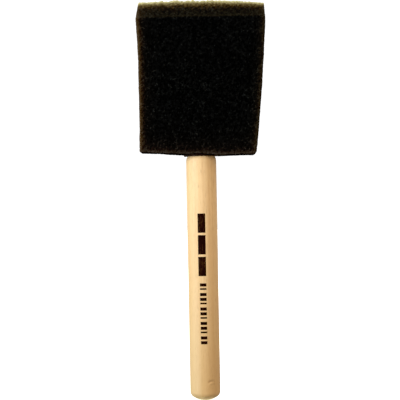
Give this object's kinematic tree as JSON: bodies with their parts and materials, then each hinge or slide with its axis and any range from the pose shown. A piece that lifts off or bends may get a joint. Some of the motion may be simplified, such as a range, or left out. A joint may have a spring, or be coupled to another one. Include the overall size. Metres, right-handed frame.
{
  "type": "foam sponge brush",
  "caption": "Foam sponge brush: round wooden dowel handle, plastic insert and a flat charcoal foam head with a blunt bevelled tip, for paint, stain and varnish.",
  "frame": {"origin": "lowest point of the handle's domed butt, on the handle's axis", "axes": "+Z along the handle's axis from the butt to the foam tip, +X along the foam's width, -Y out of the foam's front face"},
  "size_m": [0.0534, 0.016, 0.1677],
  "materials": {
    "birch_wood": "satin",
    "insert_plastic": "satin",
    "hot_melt_glue": "satin",
    "charcoal_foam": "matte",
    "printed_ink": "matte"
  },
  "bodies": {
    "root": {"handle": "birch_wood", "stiffener_insert": "insert_plastic", "glue_film_front": "hot_melt_glue", "glue_film_back": "hot_melt_glue", "foam_head": "charcoal_foam"}
  },
  "joints": []
}
